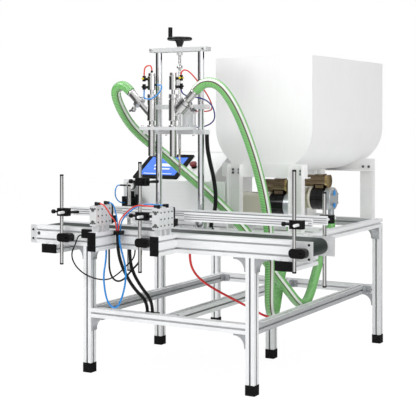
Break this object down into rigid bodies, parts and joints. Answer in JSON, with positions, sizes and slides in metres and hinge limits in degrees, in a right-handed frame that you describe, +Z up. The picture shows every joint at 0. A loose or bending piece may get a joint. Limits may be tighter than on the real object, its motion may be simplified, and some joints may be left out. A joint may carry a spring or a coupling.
{
  "type": "piston paste filling machine",
  "caption": "Piston filler for pastes: trough hopper and pumps behind, hoses to nozzles on a hand cranked gantry over a belt conveyor with bottle stops, in a slotted aluminium frame.",
  "frame": {"origin": "middle of the machine's footprint, on the floor", "axes": "+X along the conveyor to the right of the operator, +Y away from the operator, +Z up"},
  "size_m": [1.394, 1.447, 1.5234],
  "materials": {
    "profile": "satin anodised",
    "black_cap": "matt",
    "cast_bracket": "cast",
    "plate": "milled",
    "drum": "turned",
    "belt": "matt",
    "black_plastic": "matt",
    "anodised": "satin",
    "steel": "satin",
    "chrome": "polished",
    "brushed": "brushed",
    "cream": "satin",
    "dark": "satin",
    "grey_cap": "satin",
    "red": "gloss",
    "hose": "spiral ribbed",
    "black_rubber": "corrugated",
    "blue": "gloss",
    "red_tube": "gloss"
  },
  "bodies": {
    "frame": {"frame_legs": "profile", "end_caps": "black_cap", "lower_rails": "profile", "upper_rails": "profile", "corner_brackets": "cast_bracket", "conveyor_rails": "profile", "end_plates": "plate", "belt": "belt", "belt_bed": "plate", "cross_beams": "profile", "bottle_sensor": "black_plastic", "stop_bodies": "anodised", "guide_posts": "chrome", "rail_clamps": "black_plastic", "rear_guide_rail": "anodised", "gantry_columns": "chrome", "top_plate": "anodised", "hopper": "brushed", "hopper_supports": "brushed", "pump_drives": "cream", "pump_barrels": "dark", "pump_caps": "grey_cap", "valve_blocks": "dark", "cabinet": "brushed", "hmi_panel": "black_plastic", "air_unit": "grey_cap", "tube_entries": "black_plastic", "left_hose": "hose", "right_hose": "hose", "conduit_a": "black_rubber", "conduit_b": "black_rubber", "blue_loop": "blue", "sensor_cable": "black_rubber", "cable_loop": "black_rubber", "red_hose": "red_tube", "head_conduit": "black_rubber", "stop_tube_1": "red_tube", "stop_tube_2": "blue", "stop_tube_3": "red_tube", "stop_tube_4": "blue", "regulator_tube": "blue"},
    "head": {"carriage_bars": "anodised", "dive_cylinder": "anodised", "nozzle_plate": "anodised", "filling_valves": "steel", "inlet_branches": "steel", "valve_actuators": "steel", "nozzle_tubes": "steel", "speed_fittings": "black_plastic", "head_air_tubes": "red_tube"},
    "handwheel": {"handwheel": "chrome", "lead_screw": "steel"},
    "grip": {"crank_grip": "black_plastic"},
    "stop_1": {"stop_slide_1": "steel"},
    "stop_2": {"stop_slide_2": "steel"},
    "drive_drum": {"drive_drum": "drum"},
    "idler_drum": {"idler_drum": "drum"},
    "guide": {"front_guide": "anodised"},
    "button": {"stop_button": "red"},
    "knob": {"air_knob": "black_plastic"}
  },
  "joints": [
    {"name": "head_lift", "type": "slide", "parent": "frame", "child": "head", "axis": [0, 0, 1], "range_m": [-0.14, 0.13], "deforming": ["left_hose", "right_hose", "head_conduit"]},
    {"name": "wheel_turn", "type": "hinge", "parent": "frame", "child": "handwheel", "pos_m": [-0.059, -0.3245, 1.47], "axis": [0, 0, 1], "range_deg": [-10091, 9371]},
    {"name": "grip_spin", "type": "hinge", "parent": "handwheel", "child": "grip", "pos_m": [-0.108, -0.3245, 1.5], "axis": [0, 0, 1], "continuous": true},
    {"name": "stop_1_slide", "type": "slide", "parent": "frame", "child": "stop_1", "axis": [0, 1, 0], "range_m": [0, 0.05]},
    {"name": "stop_2_slide", "type": "slide", "parent": "frame", "child": "stop_2", "axis": [0, 1, 0], "range_m": [0, 0.05]},
    {"name": "drive_drum_spin", "type": "hinge", "parent": "frame", "child": "drive_drum", "pos_m": [0.651, -0.463, 0.5977], "axis": [0, 1, 0], "continuous": true},
    {"name": "idler_drum_spin", "type": "hinge", "parent": "frame", "child": "idler_drum", "pos_m": [-0.651, -0.463, 0.5977], "axis": [0, 1, 0], "continuous": true},
    {"name": "guide_height", "type": "slide", "parent": "frame", "child": "guide", "axis": [0, 0, 1], "range_m": [0, 0.025]},
    {"name": "button_push", "type": "slide", "parent": "frame", "child": "button", "axis": [0, 0.5316, -0.847], "range_m": [0, 0.006]},
    {"name": "knob_turn", "type": "hinge", "parent": "frame", "child": "knob", "pos_m": [-0.402, -0.2045, 0.77], "axis": [0, 0, 1], "range_deg": [-180, 180]}
  ],
  "couplings": [
    {"joint": "wheel_turn", "follows": "head_lift", "rad_per_m": 1256.6},
    {"joint": "idler_drum_spin", "follows": "drive_drum_spin", "ratio": 1}
  ]
}
